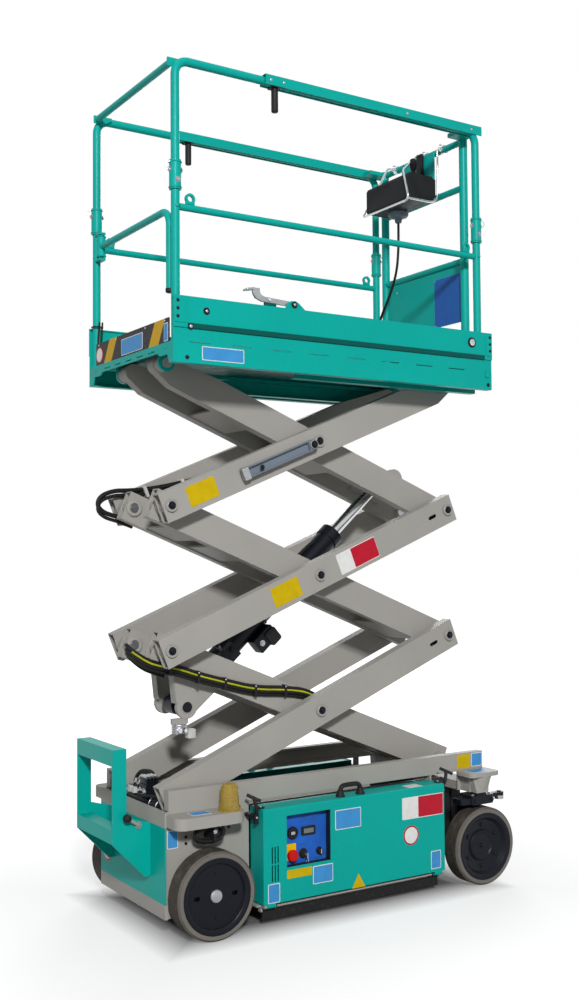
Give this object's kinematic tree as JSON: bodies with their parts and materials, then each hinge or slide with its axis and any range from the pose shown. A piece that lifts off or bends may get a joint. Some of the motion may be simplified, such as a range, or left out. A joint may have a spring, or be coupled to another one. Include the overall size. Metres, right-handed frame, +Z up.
{
  "type": "scissor lift",
  "caption": "Compact electric scissor lift: wheeled chassis with side covers, stacked crossed arms raised by a cylinder, and a railed platform with a sliding deck.",
  "frame": {"origin": "ground under the middle of the machine's box", "axes": "+X towards the steered wheels, +Y towards the far side, +Z up"},
  "size_m": [1.808, 0.8, 3.327],
  "materials": {
    "painted_teal": "gloss",
    "painted_grey": "satin",
    "black_paint": "satin",
    "zinc_steel": "satin",
    "bright_steel": "polished",
    "tyre_rubber": "matte",
    "black_plastic": "matte",
    "blue_plastic": "satin",
    "battery_case": "matte",
    "amber_lens": "gloss",
    "cable_rubber": "matte",
    "hazard_paint": "gloss",
    "prop_steel": "satin",
    "aluminium_tread": "satin"
  },
  "bodies": {
    "chassis": {"chassis_frame": "painted_grey", "rear_panel": "painted_teal", "entry_ladder": "painted_teal", "lashing_lugs": "zinc_steel", "hydraulic_unit": "black_paint", "battery_packs": "battery_case", "ground_control": "blue_plastic", "beacon": "amber_lens"},
    "cover_near": {"side_cover_near": "painted_teal"},
    "cover_far": {"side_cover_far": "painted_teal"},
    "guard_near": {"pothole_guard_near": "black_paint"},
    "guard_far": {"pothole_guard_far": "black_paint"},
    "outer_1": {"outer_arms_1": "painted_grey"},
    "inner_1": {"inner_frame_1": "painted_grey", "base_rollers": "zinc_steel"},
    "outer_2": {"outer_arms_2": "painted_grey"},
    "inner_2": {"inner_frame_2": "painted_grey"},
    "outer_3": {"outer_arms_3": "painted_grey", "platform_rollers": "zinc_steel"},
    "inner_3": {"inner_frame_3": "painted_grey"},
    "rod": {"lift_rod": "bright_steel"},
    "barrel": {"lift_barrel": "black_paint"},
    "prop": {"service_prop": "prop_steel"},
    "platform": {"platform_frame": "painted_teal", "platform_deck": "aluminium_tread", "side_panels": "painted_teal", "entry_toe_board": "hazard_paint", "guard_rails": "painted_teal", "entry_top_bar": "painted_teal", "anchor_eyes": "painted_teal", "deck_lock_pedal": "zinc_steel", "gate_bracket": "painted_teal"},
    "gate": {"entry_gate": "painted_teal"},
    "extension": {"extension_deck": "aluminium_tread", "top_channels": "painted_teal", "push_handles": "black_plastic", "end_frame": "painted_teal", "control_box": "black_plastic", "control_guard": "bright_steel", "control_cable": "cable_rubber"},
    "knuckle_near": {"steer_knuckle_near": "black_paint"},
    "knuckle_far": {"steer_knuckle_far": "black_paint"},
    "track_rod": {"tie_rod": "zinc_steel"},
    "wheel_rear_near": {"rear_tyre_near": "tyre_rubber", "rear_wheel_near": "black_paint"},
    "wheel_rear_far": {"rear_tyre_far": "tyre_rubber", "rear_wheel_far": "black_paint"},
    "wheel_front_near": {"front_tyre_near": "tyre_rubber", "front_wheel_near": "black_paint"},
    "wheel_front_far": {"front_tyre_far": "tyre_rubber", "front_wheel_far": "black_paint"}
  },
  "joints": [
    {"name": "lift", "type": "hinge", "parent": "chassis", "child": "outer_1", "pos_m": [-0.688, 0, 0.512], "axis": [0, -1, 0], "range_deg": [-16.86, 41.94]},
    {"name": "cross_1", "type": "hinge", "parent": "outer_1", "child": "inner_1", "pos_m": [-0.00217, 0, 0.78993], "axis": [0, -1, 0], "range_deg": [-83.93, 33.77]},
    {"name": "left_1", "type": "hinge", "parent": "inner_1", "child": "outer_2", "pos_m": [-0.688, 0, 1.06785], "axis": [0, -1, 0], "range_deg": [-33.77, 83.93]},
    {"name": "cross_2", "type": "hinge", "parent": "outer_2", "child": "inner_2", "pos_m": [-0.00217, 0, 1.34578], "axis": [0, -1, 0], "range_deg": [-83.93, 33.77]},
    {"name": "left_2", "type": "hinge", "parent": "inner_2", "child": "outer_3", "pos_m": [-0.688, 0, 1.62371], "axis": [0, -1, 0], "range_deg": [-33.77, 83.93]},
    {"name": "cross_3", "type": "hinge", "parent": "outer_3", "child": "inner_3", "pos_m": [-0.00217, 0, 1.90164], "axis": [0, -1, 0], "range_deg": [-83.93, 33.77]},
    {"name": "deck_level", "type": "hinge", "parent": "inner_3", "child": "platform", "pos_m": [-0.688, 0, 2.17956], "axis": [0, -1, 0], "range_deg": [-16.91, 41.99]},
    {"name": "rod_eye", "type": "hinge", "parent": "inner_3", "child": "rod", "pos_m": [0.49152, 0, 1.76199], "axis": [0, -1, 0], "range_deg": [-28.36, 70.47]},
    {"name": "cylinder_stroke", "type": "slide", "parent": "rod", "child": "barrel", "axis": [-0.7461, 0, -0.6659], "range_m": [-0.21917, 0.5437]},
    {"name": "prop_swing", "type": "hinge", "parent": "outer_3", "child": "prop", "pos_m": [-0.04851, 0, 1.88286], "axis": [0, -1, 0], "range_deg": [0, 68]},
    {"name": "deck_slide", "type": "slide", "parent": "platform", "child": "extension", "axis": [1, 0, 0], "range_m": [0, 0.6]},
    {"name": "gate_swing", "type": "hinge", "parent": "platform", "child": "gate", "pos_m": [-0.735, 0.322, 2.744], "axis": [0, 0, 1], "range_deg": [0, 90]},
    {"name": "cover_near_drop", "type": "hinge", "parent": "chassis", "child": "cover_near", "pos_m": [0.074, -0.376, 0.086], "axis": [1, 0, 0], "range_deg": [0, 90]},
    {"name": "cover_far_drop", "type": "hinge", "parent": "chassis", "child": "cover_far", "pos_m": [0.074, 0.376, 0.086], "axis": [-1, 0, 0], "range_deg": [0, 90]},
    {"name": "guard_near_fold", "type": "hinge", "parent": "chassis", "child": "guard_near", "pos_m": [0.074, -0.343, 0.069], "axis": [-1, 0, 0], "range_deg": [-80, 0]},
    {"name": "guard_far_fold", "type": "hinge", "parent": "chassis", "child": "guard_far", "pos_m": [0.074, 0.343, 0.069], "axis": [1, 0, 0], "range_deg": [-80, 0]},
    {"name": "steer", "type": "hinge", "parent": "chassis", "child": "knuckle_near", "pos_m": [0.739, -0.356, 0.43], "axis": [0, 0, 1], "range_deg": [-40, 40]},
    {"name": "steer_far", "type": "hinge", "parent": "chassis", "child": "knuckle_far", "pos_m": [0.739, 0.356, 0.43], "axis": [0, 0, 1], "range_deg": [-40.05, 40.05]},
    {"name": "track_rod_pivot", "type": "hinge", "parent": "knuckle_near", "child": "track_rod", "pos_m": [0.859, -0.356, 0.36], "axis": [0, 0, 1], "range_deg": [-40.05, 40.05]},
    {"name": "roll_rear_near", "type": "hinge", "parent": "chassis", "child": "wheel_rear_near", "pos_m": [-0.582, -0.356, 0.165], "axis": [0, 1, 0], "continuous": true},
    {"name": "roll_rear_far", "type": "hinge", "parent": "chassis", "child": "wheel_rear_far", "pos_m": [-0.582, 0.356, 0.165], "axis": [0, 1, 0], "continuous": true},
    {"name": "roll_front_near", "type": "hinge", "parent": "knuckle_near", "child": "wheel_front_near", "pos_m": [0.739, -0.356, 0.165], "axis": [0, 1, 0], "continuous": true},
    {"name": "roll_front_far", "type": "hinge", "parent": "knuckle_far", "child": "wheel_front_far", "pos_m": [0.739, 0.356, 0.165], "axis": [0, 1, 0], "continuous": true}
  ],
  "couplings": [
    {"joint": "cross_1", "follows": "lift", "ratio": -2},
    {"joint": "left_1", "follows": "lift", "ratio": 2},
    {"joint": "cross_2", "follows": "lift", "ratio": -2},
    {"joint": "left_2", "follows": "lift", "ratio": 2},
    {"joint": "cross_3", "follows": "lift", "ratio": -2},
    {"joint": "deck_level", "follows": "lift", "ratio": 1},
    {"joint": "rod_eye", "follows": "lift", "ratio": 1.679},
    {"joint": "cylinder_stroke", "follows": "lift", "m_per_rad": 0.7414},
    {"joint": "steer_far", "follows": "steer", "ratio": 1},
    {"joint": "track_rod_pivot", "follows": "steer", "ratio": -1}
  ]
}
